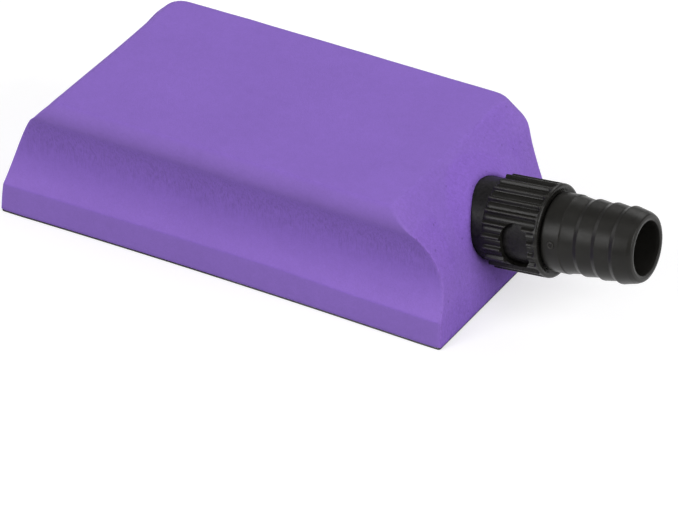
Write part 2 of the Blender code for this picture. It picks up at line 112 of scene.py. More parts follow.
# Outlet axis
OUTLET = np.array((66.675, 0.0, 21.24))
TILT = math.radians(6.6)
ALONG = np.array((math.cos(TILT), 0.0, math.sin(TILT)))
UP = np.array((-math.sin(TILT), 0.0, math.cos(TILT)))

# Spigot, with its grooves as (back, front, floor radius)
ROOT_END = -13.3847
ROOT_RADIUS = 9.4
ROOT_CHAMFER = 0.6
GLUE_GAP = 0.3
NECK_BACK = -10.4
NECK_FRONT = 0.2
NECK_RADIUS = 10.8
NECK_FIT = 0.06
JOURNAL = 10.15
JOURNAL_FRONT = 13.8
BEAD_GROOVE = (2.1, 3.5, 9.6)
RING_GROOVE = (3.85, 5.15, 9.0)
SPIGOT_BORE = 8.0
SOCKET_BACK = 12.3
SOCKET_RADIUS = 8.6
PORT_RADIUS = 2.4
PORT_ANGLE = math.radians(88.2)
# Stop lug: first angle and width in degrees
LUG_START = -98
LUG_WIDTH = 16

# Collar
COLLAR_BACK = 0.5
COLLAR_FRONT = 16.8
COLLAR_BORE = JOURNAL + 0.3
COLLAR_TURN = 90
STOP_PLAY = 1.6
RIB_RADIUS = 12.4
RIB_COUNT = 22
RIB_PLACE = math.radians(9.3)
STEPS_PER_RIB = 24
FLUTE_DEPTH = 0.85
FLUTE_END = 16.1
RUN_OUT = 1.1
VALLEY = 0.50
FLOOR_SWELL = 0.22
# Rounded edges of the collar's ribs as (place, inset), from back to front
BACK_EDGE = ((0.5, 0.35), (0.53, 0.18), (0.62, 0.06), (0.80, 0.0))
FRONT_EDGE = (
    (16.2, 0.01),
    (16.36, 0.05),
    (16.52, 0.14),
    (16.65, 0.28),
    (16.74, 0.44),
    (16.80, 0.68),
)
BEAD = (2.4, 3.2)
BEAD_HEIGHT = 0.5
POCKET = (13.8, 16.0)
POCKET_RADIUS = 10.65
MOUTH_RADIUS = 9.95
WINDOW_PLACE = 9.8
WINDOW_RADIUS = 3.9
WINDOW_HALF_HEIGHT = 6.55
WINDOW_ANGLE = math.radians(-1.8)

# Hose tail, with its barbs as (valley, crest, crest radius, rounding)
TAIL_BACK = 12.6
PILOT_RADIUS = 8.3
SHOULDER = (15.0, 15.7)
SHOULDER_RADIUS = 10.35
TAIL_NECK = 9.65
BARB_ROOT = 9.66
BARBS = ((25.85, 27.1, 10.2, 0.75), (30.95, 32.25, 10.2, 0.75), (36.10, 37.4, 10.24, 0.8))
HOSE_BORE = 7.1
PIP_PLACE = 19.9
PIP_ANGLE = math.radians(11)
# Pip from its foot over the crown into the dimple as (radius, reach from the axis)
PIP_LINE = (
    (1.0, 10.2),
    (0.97, 10.45),
    (0.88, 10.70),
    (0.72, 10.76),
    (0.55, 10.68),
    (0.42, 10.46),
    (0.25, 10.43),
)

# Colours
FOAM_COLOUR = (0.243, 0.1335, 0.531, 1)
HOOK_BLACK = (0.030, 0.027, 0.027, 1)
# The spigot's black is darker than the collar's, to paint the shade on the neck under the collar
# and inside the window
NECK_SHADED_BLACK = (0.0050, 0.0045, 0.0045, 1)
COLLAR_BLACK = (0.0105, 0.0099, 0.0086, 1)
# The tail's black is lighter than the collar's, painted light for its lit upper side
TAIL_LIT_BLACK = (0.0150, 0.0143, 0.0127, 1)
RUBBER_BLACK = (0.012, 0.012, 0.012, 1)

# Camera, fitted to the photo's edges. Its place is along its own right, up and forward,
# and the focal length is in the photo's pixels.
AZIMUTH = math.radians(29.92)
ELEVATION = math.radians(33.08)
CAMERA_PLACE = (15.83, -10.06, -1435.9)
FOCAL_LENGTH = 5400
PHOTO_WIDTH = 679
SENSOR_WIDTH = 36.0

# Lamps in metres and watts as (name, place, size, power), and the set's brightness
LAMPS = (
    ("key_lamp", (-1.16, -2.56, 1.48), (1.2, 1.8), 43.5),
    ("top_lamp", (0.1, -0.3, 1.5), (1.2, 0.9), 3.1),
    ("right_lamp", (1.4, -0.2, 0.75), (0.9, 0.7), 13.9),
    ("left_lamp", (-1.5, -0.2, 0.6), (1.0, 0.8), 4.3),
    ("back_lamp", (0.1, 1.3, 1.0), (1.2, 0.8), 7.3),
)
LAMP_TARGET = (0, 0, 0.02)
SKY = 0.22
WHITE = 1.0
FLOOR_HALF_WIDTH = 3000
FLOOR_DROP = 0.05
FLOOR_SHADE = (0.555, 0.565)
FLOOR_GLOW = 0.57


# Mesh helpers


def smoothstep(low, high, value):
    """0 below low, 1 above high, and a smooth rise between them."""
    share = np.clip((np.asarray(value, float) - low) / (high - low), 0, 1)
    return share * share * (3 - 2 * share)


def resmooth(item, sharp):
    """Smooth faces with edges kept sharp beyond an angle in degrees."""
    item.data.shade_smooth()
    item.data.set_sharp_from_angle(angle=math.radians(sharp))


def make_object(name, bm, material, sharp=35):
    """Named object from a bmesh in millimetres."""
    bmesh.ops.recalc_face_normals(bm, faces=bm.faces)
    bm.transform(Matrix.Scale(MM, 4))
    mesh = bpy.data.meshes.new(name)
    bm.to_mesh(mesh)
    bm.free()
    item = bpy.data.objects.new(name, mesh)
    bpy.context.scene.collection.objects.link(item)
    resmooth(item, sharp)
    if material is not None:
        mesh.materials.append(material)
    return item


def skin(rings, closed_along=False, caps=True):
    """Bmesh of quads between rings of points."""
    bm = bmesh.new()
    loops = [[bm.verts.new(tuple(point)) for point in ring] for ring in rings]
    pairs = list(zip(loops, loops[1:]))
    if closed_along:
        pairs.append((loops[-1], loops[0]))
    for low, high in pairs:
        for here in range(len(low)):
            after = (here + 1) % len(low)
            bm.faces.new((low[here], low[after], high[after], high[here]))
    if caps and not closed_along:
        bm.faces.new(list(reversed(loops[0])))
        bm.faces.new(loops[-1])
    return bm


def prism(outline, heights):
    """Bmesh of an outline in plan, carried through heights."""
    return skin([[(x, y, height) for x, y in outline] for height in heights])


def arc(centre, radius, start, end, steps):
    """Points of a circular arc in a plane, both ends included."""
    angles = np.linspace(start, end, steps + 1)
    return [
        (centre[0] + radius * math.cos(a), centre[1] + radius * math.sin(a)) for a in angles
    ]


def circle(centre, radius, steps):
    """Points of a full circle in a plane."""
    return arc(centre, radius, 0, FULL_TURN, steps)[:-1]


def curve(start, corner, end, steps):
    """Points of a curve that rounds a corner between two points."""
    return [
        tuple((1 - share) ** 2 * start + 2 * share * (1 - share) * corner + share**2 * end)
        for share in np.linspace(0, 1, steps + 1)
    ]


def fillet(corners, steps=5):
    """Outline with rounded corners from (x, y, radius). It is taken as closed."""
    outline = []
    count = len(corners)
    for here in range(count):
        x, y, radius = corners[here]
        point = np.array((x, y))
        if radius <= 0:
            outline.append((x, y))
            continue
        before = np.array(corners[here - 1][:2]) - point
        after = np.array(corners[(here + 1) % count][:2]) - point
        reach_before, reach_after = np.linalg.norm(before), np.linalg.norm(after)
        before, after = before / reach_before, after / reach_after
        half = math.acos(np.clip(before @ after, -1, 1)) / 2
        reach = min(radius / math.tan(half), 0.45 * reach_before, 0.45 * reach_after)
        outline += curve(point + before * reach, point, point + after * reach, steps)
    return outline


def outlet_point(place, radius, angle):
    """Point round the outlet axis, in the part's frame."""
    side = np.array((0.0, -radius * math.cos(angle), 0.0))
    return OUTLET + place * ALONG + side + radius * math.sin(angle) * UP


def beside_axis(along, side, reach, angle):
    """Point at a reach from the outlet axis towards an angle, moved along and sideways."""
    across = -reach * math.cos(angle) + side * math.sin(angle)
    up = reach * math.sin(angle) + side * math.cos(angle)
    return OUTLET + along * ALONG + np.array((0, across, 0)) + up * UP


def outlet_coordinates(points):
    """Place, radius and angle of points round the outlet axis."""
    away = points - OUTLET
    place = away @ ALONG
    side, up = away[:, 1], away @ UP
    return place, np.hypot(side, up), np.arctan2(up, -side)


def revolve(profile, steps=160, closed=True, caps=False, grow=None):
    """Bmesh turned round the outlet axis from (place, radius) pairs."""
    rings = []
    for row, (place, radius) in enumerate(profile):
        ring = []
        for step in range(steps):
            angle = FULL_TURN * step / steps
            extra = grow(row, angle) if grow else 0
            ring.append(outlet_point(place, radius + extra, angle))
        rings.append(ring)
    return skin(rings, closed_along=closed, caps=caps)


def sector(corners, start, width, steps):
    """Bmesh of (place, radius) corners swept round the axis, from and through degrees."""
    rings = []
    for step in range(steps + 1):
        angle = math.radians(start + width * step / steps)
        rings.append([outlet_point(place, radius, angle) for place, radius in corners])
    return skin(rings)


def plug(outline, reaches, widths, angle):
    """Bmesh of a plug that points out from the outlet axis.

    Its outline is in (along, side), and grows by a width at each reach.
    """
    rings = []
    middle = np.mean(np.array(outline), axis=0)
    for reach, extra in zip(reaches, widths):
        ring = []
        for point in outline:
            away = np.array(point) - middle
            away = away * (1 + extra / max(np.linalg.norm(away), 1e-6)) + middle
            ring.append(beside_axis(away[0], away[1], reach, angle))
        rings.append(ring)
    return skin(rings)


def carve(target, bm, operation="DIFFERENCE"):
    """Boolean of an object with a bmesh in millimetres, applied at once."""
    form = make_object("form", bm, None)
    modifier = target.modifiers.new("carve", "BOOLEAN")
    modifier.operation = operation
    modifier.solver = "EXACT"
    modifier.object = form
    graph = bpy.context.evaluated_depsgraph_get()
    mesh = bpy.data.meshes.new_from_object(target.evaluated_get(graph), depsgraph=graph)
    old = target.data
    target.modifiers.clear()
    target.data = mesh
    mesh.name = old.name
    bpy.data.meshes.remove(old)
    bpy.data.objects.remove(form, do_unlink=True)


def points_of(mesh):
    """Vertices of a mesh as an array, in millimetres."""
    flat = np.empty(len(mesh.vertices) * 3, np.float32)
    mesh.vertices.foreach_get("co", flat)
    return flat.reshape(-1, 3).astype(float) / MM


def normals_of(mesh):
    """Vertex normals of a mesh as an array."""
    flat = np.empty(len(mesh.vertices) * 3, np.float32)
    mesh.vertex_normals.foreach_get("vector", flat)
    return flat.reshape(-1, 3).astype(float)


def set_points(mesh, points):
    """Writes vertices back from millimetres."""
    mesh.vertices.foreach_set("co", (points * MM).astype(np.float32).ravel())
    mesh.update()


def set_mask(mesh, name, values):
    """Stores one number per vertex for a material to read."""
    layer = mesh.attributes.get(name) or mesh.attributes.new(name, "FLOAT", "POINT")
    layer.data.foreach_set("value", np.asarray(values, np.float32))


def field(points, scale, seed):
    """Smooth noise at points, for features of about scale millimetres."""
    shift = Vector((seed * 17.3, seed * 5.1, seed * 9.7))
    return np.array([noise.noise(Vector(point / scale) + shift) for point in points])


# Materials


class Nodes:
    """Short way to write a material's nodes."""

    def __init__(self, name):
        self.material = bpy.data.materials.new(name)
        self.material.use_nodes = True
        self.tree = self.material.node_tree
        self.shader = self.tree.nodes["Principled BSDF"]

    def add(self, kind, values=(), **settings):
        """New node with settings, whose inputs are set from (name, value or socket)."""
        node = self.tree.nodes.new(kind)
        for key, value in settings.items():
            setattr(node, key, value)
        for key, value in values:
            self.put(node, key, value)
        return node

    def put(self, node, key, value):
        """Sets or links one input of a node."""
        socket = node.inputs[key]
        if isinstance(value, bpy.types.NodeSocket):
            self.tree.links.new(value, socket)
        else:
            socket.default_value = value

    def math(self, operation, first, second):
        """Value of a Math node."""
        values = ((0, first), (1, second))
        return self.add("ShaderNodeMath", values, operation=operation).outputs[0]

    def plus(self, first, second):
        """Sum of two values."""
        return self.math("ADD", first, second)

    def minus(self, first, second):
        """Difference of two values."""
        return self.math("SUBTRACT", first, second)

    def times(self, first, *others):
        """Product of values."""
        for other in others:
            first = self.math("MULTIPLY", first, other)
        return first

    def remap(self, value, low, high, new_low=0.0, new_high=1.0):
        """Value moved from one range to another, clamped."""
        values = (
            ("Value", value),
            ("From Min", low),
            ("From Max", high),
            ("To Min", new_low),
            ("To Max", new_high),
        )
        return self.add("ShaderNodeMapRange", values).outputs["Result"]

    def where(self, scale=None):
        """Place on the object in metres, stretched by a scale if there is one."""
        coordinates = self.add("ShaderNodeTexCoord").outputs["Object"]
        if scale is None:
            return coordinates
        mapping = self.add("ShaderNodeMapping", (("Vector", coordinates), ("Scale", scale)))
        return mapping.outputs["Vector"]

    def noise(self, size, detail, roughness, scale=None):
        """Noise with features of about a size in millimetres."""
        values = (
            ("Vector", self.where(scale)),
            ("Scale", 1 / (size * MM)),
            ("Detail", detail),
            ("Roughness", roughness),
        )
        return self.add("ShaderNodeTexNoise", values).outputs["Fac"]

    def cells(self, size):
        """Voronoi node with cells of about a size in millimetres."""
        values = (("Vector", self.where()), ("Scale", 1 / (size * MM)))
        return self.add("ShaderNodeTexVoronoi", values)

    def mask(self, name):
        """Number per vertex that the mesh carries."""
        return self.add("ShaderNodeAttribute", attribute_name=name).outputs["Fac"]

    def mix(self, share, first, second, blend="MIX"):
        """Mix of two colours."""
        node = self.add("ShaderNodeMix", data_type="RGBA", blend_type=blend)
        for key, value in ((0, share), (6, first), (7, second)):
            self.put(node, key, value)
        return node.outputs[2]

    def shaded(self, colour, shade):
        """Colour made lighter or darker by a factor."""
        values = (("Color", colour), ("Value", shade))
        return self.add("ShaderNodeHueSaturation", values).outputs["Color"]

    def bump(self, height, depth, normal=None):
        """Bump from a height of 0 to 1, with its depth in millimetres."""
        values = [("Height", height), ("Distance", depth * MM)]
        if normal is not None:
            values.append(("Normal", normal))
        return self.add("ShaderNodeBump", values).outputs["Normal"]

    def finish(self, **inputs):
        """Sets the shader's inputs and returns the material."""
        for key, value in inputs.items():
            self.put(self.shader, key.replace("_", " "), value)
        return self.material


def foam_material(name, pores):
    """Closed-cell foam: fine cells, stray open pits, milling streaks, and painted light and
    shade.

    The pores are the share of the larger cells that have an open pit.
    """
    n = Nodes(name)
    rough = n.mask("rough")
    broad = n.noise(28, 3.0, 0.55)
    medium = n.noise(3.2, 3.0, 0.6)
    fine = n.noise(0.34, 3.0, 0.65)
    cell = n.cells(0.42).outputs["Distance"]

    # Open pits, only where the foam is rough
    pit_cells = n.cells(1.5)
    pick = n.add("ShaderNodeSeparateColor", (("Color", pit_cells.outputs["Color"]),))
    chosen = n.remap(pick.outputs[0], 1 - pores, 1 - pores + 0.02)
    size = n.remap(pick.outputs[1], 0, 1, 0.13, 0.30)
    inside = n.minus(size, pit_cells.outputs["Distance"])
    pit = n.times(n.remap(inside, -0.03, 0.09), chosen, n.remap(rough, 0.60, 0.95))

    # Short upright streaks left by milling across the cove, drawn darker than their own tone so
    # that they also paint the shade of the cove's dark band
    lines = n.noise(0.42, 3.0, 0.65, (1.0, 1.0, 0.14))
    lines = n.times(n.remap(lines, 0.46, 0.68), n.mask("streak_and_shade"))

    mottle = n.minus(n.remap(n.noise(0.8, 3.0, 0.6), 0.3, 0.7), 0.5)
    mottle = n.times(mottle, n.remap(rough, 0.35, 0.95, 0.03, 0.17))
    shade = n.times(
        n.remap(broad, 0.25, 0.75, 0.965, 1.035),
        n.remap(medium, 0.25, 0.75, 0.975, 1.025),
        n.remap(fine, 0.2, 0.8, 0.955, 1.045),
        n.plus(mottle, 1.0),
        n.remap(cell, 0.0, 0.6, 0.97, 1.02),
        n.remap(pit, 0, 1, 1.0, 0.74),
        n.remap(lines, 0, 1, 1.0, 0.80),
        # Painted shadow round the neck
        n.remap(n.mask("neck_shadow"), 0, 1, 1.0, 0.75),
    )
    colour = n.shaded(FOAM_COLOUR, shade)
    # The skirt and the nose are tinted greyer, and the open-celled foam more purple
    colour = n.mix(n.mask("skin"), colour, (0.98, 1.03, 0.93, 1), "MULTIPLY")
    colour = n.mix(n.remap(rough, 0.75, 0.95), colour, (0.98, 0.925, 1.015, 1), "MULTIPLY")
    # Painted highlight on the upright corners, the end's border and the flare
    colour = n.mix(n.mask("edge"), colour, (1.13, 1.15, 1.06, 1), "MULTIPLY")

    height = n.times(n.minus(fine, n.times(pit, 1.5)), 0.5)
    height = n.plus(height, n.times(cell, n.remap(rough, 0, 1, 0.35, 0.8)))
    height = n.minus(height, n.times(lines, 0.6))
    normal = n.bump(n.noise(2.2, 3.0, 0.6), 0.05)
    return n.finish(
        Base_Color=colour,
        Roughness=n.remap(fine, 0.2, 0.8, 0.74, 0.92),
        Normal=n.bump(height, 0.10, normal),
        Sheen_Weight=0.16,
        Sheen_Roughness=0.45,
        Sheen_Tint=(0.62, 0.46, 1.0, 1.0),
        Specular_IOR_Level=0.16,
    )


def plastic_material(name, colour, roughness, level, wear_and_highlight=0.0, dull=0.0, turned=0.0):
    """Moulded black plastic with a fine grain.

    Wear paints high spots pale, as wear and as painted highlight, dull lays a film of dust on
    it, and turned gives it faint turning marks.
    """
    n = Nodes(name)
    grain = n.noise(0.16, 3.0, 0.65)
    cloud = n.noise(4.5, 3.0, 0.6)
    scuffs = n.noise(0.9, 4.0, 0.7)
    height = n.times(grain, 0.8)
    if turned:
        marks = n.noise(0.12, 2.0, 0.5, (1.0, 0.02, 0.02))
        height = n.plus(height, n.times(marks, turned))
    shade = n.times(
        n.remap(cloud, 0.25, 0.75, 0.82, 1.18), n.remap(grain, 0.2, 0.8, 0.86, 1.14)
    )
    tinted = n.shaded(colour, shade)
    gloss = n.remap(cloud, 0.25, 0.75, roughness - 0.04, roughness + 0.05)
    gloss = n.plus(gloss, n.remap(scuffs, 0.45, 0.75, 0.0, 0.07))
    # Painted highlight and wear: the crest mask is painted paler
    if wear_and_highlight:
        pale_crests = n.times(n.mask("crest"), n.remap(scuffs, 0.30, 0.62, 0.45, 1.0))
        tinted = n.mix(n.times(pale_crests, wear_and_highlight), tinted, (0.115, 0.110, 0.104, 1))
        gloss = n.minus(gloss, n.times(pale_crests, 0.04))
    if dull:
        film = n.remap(n.noise(1.1, 4.0, 0.65), 0.35, 0.7)
        tinted = n.mix(n.times(film, dull), tinted, (0.060, 0.054, 0.058, 1))
        gloss = n.plus(gloss, n.times(film, 0.2))
        height = n.plus(height, n.times(film, 2.0))
    return n.finish(
        Base_Color=tinted,
        Roughness=gloss,
        Normal=n.bump(height, 0.018),
        Specular_IOR_Level=level,
    )


def rubber_material():
    """Soft matt rubber with a dusty bloom."""
    n = Nodes("seal_rubber")
    bloom = n.noise(1.4, 4.0, 0.65)
    fine = n.noise(0.12, 2.0, 0.6)
    share = n.remap(bloom, 0.35, 0.7, 0.0, 0.5)
    return n.finish(
        Base_Color=n.mix(share, RUBBER_BLACK, (0.035, 0.035, 0.036, 1)),
        Roughness=n.remap(fine, 0.2, 0.8, 0.55, 0.75),
        Normal=n.bump(fine, 0.02),
        Specular_IOR_Level=0.4,
    )


def hook_material():
    """Nylon hooks on a woven backing."""
    n = Nodes("hook_facing")
    warp = n.noise(0.25, 1.0, 0.5, (1.0, 0.15, 1.0))
    weft = n.noise(0.25, 1.0, 0.5, (0.15, 1.0, 1.0))
    weave = n.math("MAXIMUM", warp, weft)
    cloud = n.noise(5, 3.0, 0.6)
    shade = n.times(n.remap(weave, 0.35, 0.7, 0.7, 1.25), n.remap(cloud, 0.25, 0.75, 0.85, 1.15))
    return n.finish(
        Base_Color=n.shaded(HOOK_BLACK, shade),
        Roughness=n.remap(cloud, 0.25, 0.75, 0.5, 0.62),
        Normal=n.bump(weave, 0.06),
        Specular_IOR_Level=0.45,
    )


# Foam


def half_length(height):
    """Half length of the foam at a height, with the end's soft turn into the top."""
    rise = TOP - END_UPRIGHT
    radius = (END_SETBACK**2 + rise**2) / (2 * END_SETBACK)
    climb = max(height - END_UPRIGHT, 0)
    plain = HALF_LENGTH - (radius - math.sqrt(radius**2 - climb**2))
    slope = math.asin(rise / radius)
    drop = END_BLEND * (1 - math.sin(slope))
    below = TOP - height
    if below >= drop:
        return plain
    # Circle tangent to the top, and close to the arc lower down
    reach = END_BLEND / math.tan((math.pi / 2 + slope) / 2)
    centre = HALF_LENGTH - END_SETBACK - reach
    sag = END_BLEND - below
    return min(plain, centre + math.sqrt(max(END_BLEND**2 - sag**2, 0)))


def cove_arc(edge, waist, rise, steps):
    """One half of the cove from its waist to an edge further out, a rise away.

    Returns the arc and the angle that it spans. A negative rise goes down.
    """
    radius = ((edge - waist) ** 2 + rise**2) / (2 * (edge - waist))
    slope = math.asin(rise / radius)
    return arc((waist + radius, WAIST), radius, math.pi, math.pi - slope, steps), slope


def flank(back=False):
    """Half section of the foam as (half width, height), from the foot to the flat top.

    The back's shoulder stands fuller and more upright than the front's.
    """
    depth, nose, straight_angle, edge_radius = BACK_SHOULDER if back else FRONT_SHOULDER
    crease = HALF_WIDTH - SKIRT_LEAN
    waist = HALF_WIDTH - WAIST_DEPTH
    cove_top = HALF_WIDTH - depth
    lower = cove_arc(crease, waist, SKIRT_TOP - WAIST, 20)[0][::-1]
    upper, slope = cove_arc(cove_top, waist, COVE_TOP - WAIST, 18)
    # The nose rolls on from the cove, runs straight for a bit and turns into the top
    centre = (cove_top - nose * math.cos(slope), COVE_TOP + nose * math.sin(slope))
    shoulder = arc(centre, nose, -slope, straight_angle, 16)
    climb = TOP - shoulder[-1][1] - edge_radius * (1 - math.sin(straight_angle))
    straight = climb / math.cos(straight_angle)
    inner = nose - edge_radius
    centre = (
        centre[0] + inner * math.cos(straight_angle) - straight * math.sin(straight_angle),
        centre[1] + inner * math.sin(straight_angle) + climb,
    )
    edge = arc(centre, edge_radius, straight_angle, math.pi / 2, 8)
    foot = [
        (HALF_WIDTH - LIP_THICKNESS - 0.04, FOAM_FOOT),
        (HALF_WIDTH - LIP_THICKNESS, LIP_FOOT + 0.04),
        (HALF_WIDTH - 0.12, LIP_FOOT),
        (HALF_WIDTH, LIP_EDGE),
    ]
    skirt = [
        (HALF_WIDTH - SKIRT_LEAN * share, LIP_EDGE + share * (SKIRT_TOP - LIP_EDGE))
        for share in np.linspace(0, 1, 11)[1:-2]
    ]
    corner = np.array((crease, SKIRT_TOP))
    bend = curve(corner + np.array((0.05, -0.35)), corner, np.array(lower[1]), 7)
    return foot + skirt + bend + lower[2:] + upper[1:] + shoulder[1:] + edge


def half_widths(heights):
    """Half width of the foam's front at heights."""
    outline = flank()[1:]
    return np.interp(heights, [height for _, height in outline], [width for width, _ in outline])


def plan_outline(half_x, half_y, radius, counts):
    """Rounded rectangle with even points along its sides.

    The counts are the steps along a long side, along a short side and round a corner.
    """
    long_steps, short_steps, corner_steps = counts
    quarter = math.pi / 2
    corners = []
    for turn, (side_x, side_y) in enumerate(((1, 1), (-1, 1), (-1, -1), (1, -1))):
        centre = (side_x * (half_x - radius), side_y * (half_y - radius))
        corners.append(arc(centre, radius, quarter * turn, quarter * (turn + 1), corner_steps))
    outline = []
    for turn, corner in enumerate(corners):
        outline += corner
        start = np.array(corner[-1])
        goal = np.array(corners[(turn + 1) % 4][0])
        shares = np.linspace(0, 1, (short_steps if turn % 2 else long_steps) + 1)[1:-1]
        outline += [tuple(start + (goal - start) * share) for share in shares]
    return outline


def corner_radius(height, back):
    """Radius of the upright corners, crisp along the cove and softer at the top."""
    return 0.28 + (3.9 if back else 1.1) * float(smoothstep(29, 36, height))


def foam_rings():
    """Rings of the foam's outside, from the foot over the flank to the middle of the top."""
    levels = [(front, back, 0.0) for front, back in zip(flank(), flank(back=True))]
    front, back, _ = levels[-1]
    reach = min(front[0], back[0]) - 0.5
    levels += [(front, back, reach * share) for share in np.linspace(0, 1, 34)[1:]]
    rings = []
    for front, back, inset in levels:
        sides = []
        for is_back, (width, height) in ((False, front), (True, back)):
            radius = max(corner_radius(height, is_back) - inset, 0.25)
            length = half_length(height)
            outline = plan_outline(length - inset, width - inset, radius, (150, 74, 7))
            sides.append(np.array([(x, y, height) for x, y in outline]))
        share = smoothstep(-0.4, 0.4, sides[0][:, 1] / max(front[0] - inset, 1))[:, None]
        rings.append(sides[0] * (1 - share) + sides[1] * share)
    return rings


def crease_dip(points):
    """How far the front's crease lies lower towards the outlet, for points near it."""
    x, y, z = points.T
    near = np.exp(-(((z - SKIRT_TOP) / 3) ** 2))
    return CREASE_DIP * smoothstep(15, 42, x) * smoothstep(20, 28, -y) * near


def relax_foam(points):
    """Moves the foam's points by the small departures that the photo shows."""
    moved = points.copy()
    moved[:, 2] -= crease_dip(points)
    x, y, z = points.T
    # The left end draws in a little between its corners
    left = smoothstep(40, 62, -x) * smoothstep(2, 16, z)
    between = 1 - np.clip(np.abs(y) / half_widths(z), 0, 1) ** 6
    moved[:, 0] += LEFT_END_DRAW * between * left
    moved[:, 0] += LEFT_CORNER_DRAW * smoothstep(29.3, 31.5, z) * smoothstep(24, 30, -y) * left
    # The far edge sinks a little towards the left, and the front draws in along its foot
    far_edge = smoothstep(22, 29, y) * smoothstep(28, 33, z)
    moved[:, 1] -= FAR_EDGE_SINK * smoothstep(25, 60, -x) * far_edge
    middle = np.clip(1 - (x / 60) ** 2, 0, 1)
    foot = smoothstep(24, 30, -y) * (1 - 0.8 * smoothstep(10, 28, z))
    moved[:, 1] += FRONT_FOOT_DRAW * middle * foot
    # The right end's foot spreads a little, and its far edge stands back higher up
    moved[:, 0] += RIGHT_FOOT_SPREAD * smoothstep(50, 62, x) * (1 - smoothstep(3, 14, z))
    right = smoothstep(35, 58, x) * smoothstep(8, 18, z) * (1 - smoothstep(26, 36, z))
    moved[:, 0] -= RIGHT_EDGE_DRAW * smoothstep(8, 32, y) * right
    # The foam swells round the upper part of the neck, and its rim rolls in against it
    place, radius, angle = outlet_coordinates(points)
    end = smoothstep(45, 50, x) * (place > -20)
    upper = smoothstep(-0.45, 1.0, np.sin(angle)) * (1 - smoothstep(10.8, 17.3, radius))
    rim = np.clip(1 - (radius - NECK_RADIUS) / 0.8, 0, 1) ** 2
    moved += np.outer((NECK_SWELL * upper - NECK_ROLL * rim) * end, ALONG)
    return moved


def foam_waves(points, normals):
    """Slight unevenness of the foam's faces, finer round the neck."""
    wave = 0.10 * field(points, 30, 3) + 0.035 * field(points, 7, 5)
    hold = smoothstep(FOAM_FOOT, FOAM_FOOT + 3, points[:, 2])
    near = 1 - smoothstep(11.3, 14, outlet_coordinates(points)[1])
    wave += 0.07 * near * field(points, 0.9, 8) * (points[:, 0] > 40)
    waved = points + normals * (wave * hold - SKIN_DEPTH)[:, None]
    lip = 1 - smoothstep(LIP_FOOT + 0.30, LIP_FOOT + 1.2, points[:, 2])
    ends = 1 - smoothstep(0.2, 0.9, HALF_LENGTH - np.abs(points[:, 0]))
    waved[:, 2] += END_LIP * lip * ends
    waved[:, 0] = np.maximum(waved[:, 0], BOX_GAP - HALF_LENGTH)
    waved[:, 2] = np.minimum(waved[:, 2], TOP - BOX_GAP)
    return waved


def spigot_root(gap):
    """Outside of the spigot's glued part as (place, radius), grown by a gap."""
    root = ROOT_RADIUS + gap
    return [
        (ROOT_END - gap, root - ROOT_CHAMFER),
        (ROOT_END - gap + ROOT_CHAMFER, root),
        (NECK_BACK - gap, root),
        (NECK_BACK - gap, NECK_RADIUS + gap),
    ]


def spigot_hole():
    """Bmesh of the hole for the spigot, with a slightly ragged rim."""
    hole = NECK_RADIUS + NECK_FIT
    profile = [(ROOT_END - 4, SPIGOT_BORE), (ROOT_END - GLUE_GAP, SPIGOT_BORE)]
    profile += spigot_root(GLUE_GAP)[:-1]
    profile += [(NECK_BACK - GLUE_GAP, hole), (3.0, hole)]

    def ragged(row, angle):
        if row < len(profile) - 1:
            return 0
        turn = Vector((4 * math.cos(angle), 4 * math.sin(angle), 0.3))
        return 0.20 * max(noise.noise(turn * 2.2), 0) + 0.06 * abs(noise.noise(turn * 6))

    return revolve(profile, 180, closed=False, caps=True, grow=ragged)


def plenum():
    """Bmesh of the hollow, whose roof rises to the spigot's bore."""
    outline = plan_outline(PLENUM_HALF_LENGTH, PLENUM_HALF_WIDTH, PLENUM_CORNER, (4, 4, 8))
    far_roof = INSERT_TOP + PLENUM_FAR_HEIGHT
    near_roof = OUTLET[2] - END_WALL * math.tan(TILT) + SPIGOT_BORE
    climb = (near_roof - far_roof) / (2 * PLENUM_HALF_LENGTH)
    floor = [(x, y, INSERT_TOP - 2) for x, y in outline]
    roof = [(x, y, far_roof + (x + PLENUM_HALF_LENGTH) * climb) for x, y in outline]
    return skin([floor, roof])


def build_foam(material):
    """Foam body with its plenum, insert seat and the hole for the spigot."""
    bm = skin(foam_rings())
    # Finer faces round the neck, for the swell and the rim
    near = []
    for item in bm.edges:
        middle = np.array((item.verts[0].co + item.verts[1].co) / 2)
        radius = outlet_coordinates(middle[None, :])[1][0]
        if middle[0] > 50 and radius < 16 and middle[2] < TOP - 1:
            near.append(item)
    bmesh.ops.subdivide_edges(bm, edges=near, cuts=2, use_grid_fill=True)
    foam = make_object("foam_block", bm, material, 60)
    points = relax_foam(points_of(foam.data))
    set_points(foam.data, points)
    set_points(foam.data, foam_waves(points, normals_of(foam.data)))
    carve(foam, prism(plan_outline(*SEAT, SEAT_CORNER, (4, 4, 6)), (-2, INSERT_TOP + 0.05)))
    carve(foam, plenum())
    carve(foam, spigot_hole())
    resmooth(foam, 50)
    foam_masks(foam.data)
    return foam


